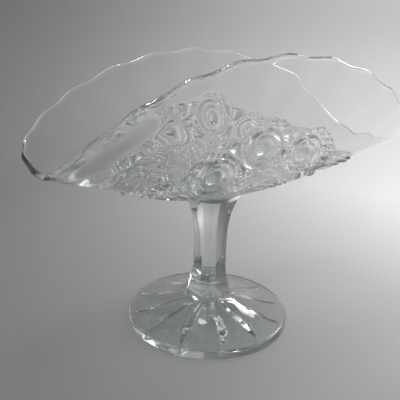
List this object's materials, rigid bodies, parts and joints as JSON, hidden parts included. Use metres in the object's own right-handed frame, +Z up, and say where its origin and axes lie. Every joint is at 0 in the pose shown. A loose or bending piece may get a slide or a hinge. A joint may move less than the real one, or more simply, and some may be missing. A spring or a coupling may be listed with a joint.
{
  "type": "banana dish",
  "caption": "Footed banana dish of clear pressed glass: a trough-shaped bowl with ringed bosses and scalloped raised sides, on a six-sided stem and a round foot with a star beneath.",
  "frame": {"origin": "point on the table where the stem's axis meets it, at the middle of the foot's flat underside", "axes": "+Z up along the stem; +X along the trough, towards the end that reaches a little farther from the stem; +Y across the trough"},
  "size_m": [0.1765, 0.077, 0.1258],
  "materials": {
    "bowl_glass": "clear fire-polished pressed glass",
    "wafer_glass": "clear tooled glass",
    "stem_glass": "clear fire-polished pressed glass",
    "foot_glass": "clear fire-polished pressed glass"
  },
  "bodies": {
    "root": {"bowl": "bowl_glass", "wafer": "wafer_glass", "stem": "stem_glass", "foot": "foot_glass"}
  },
  "joints": []
}
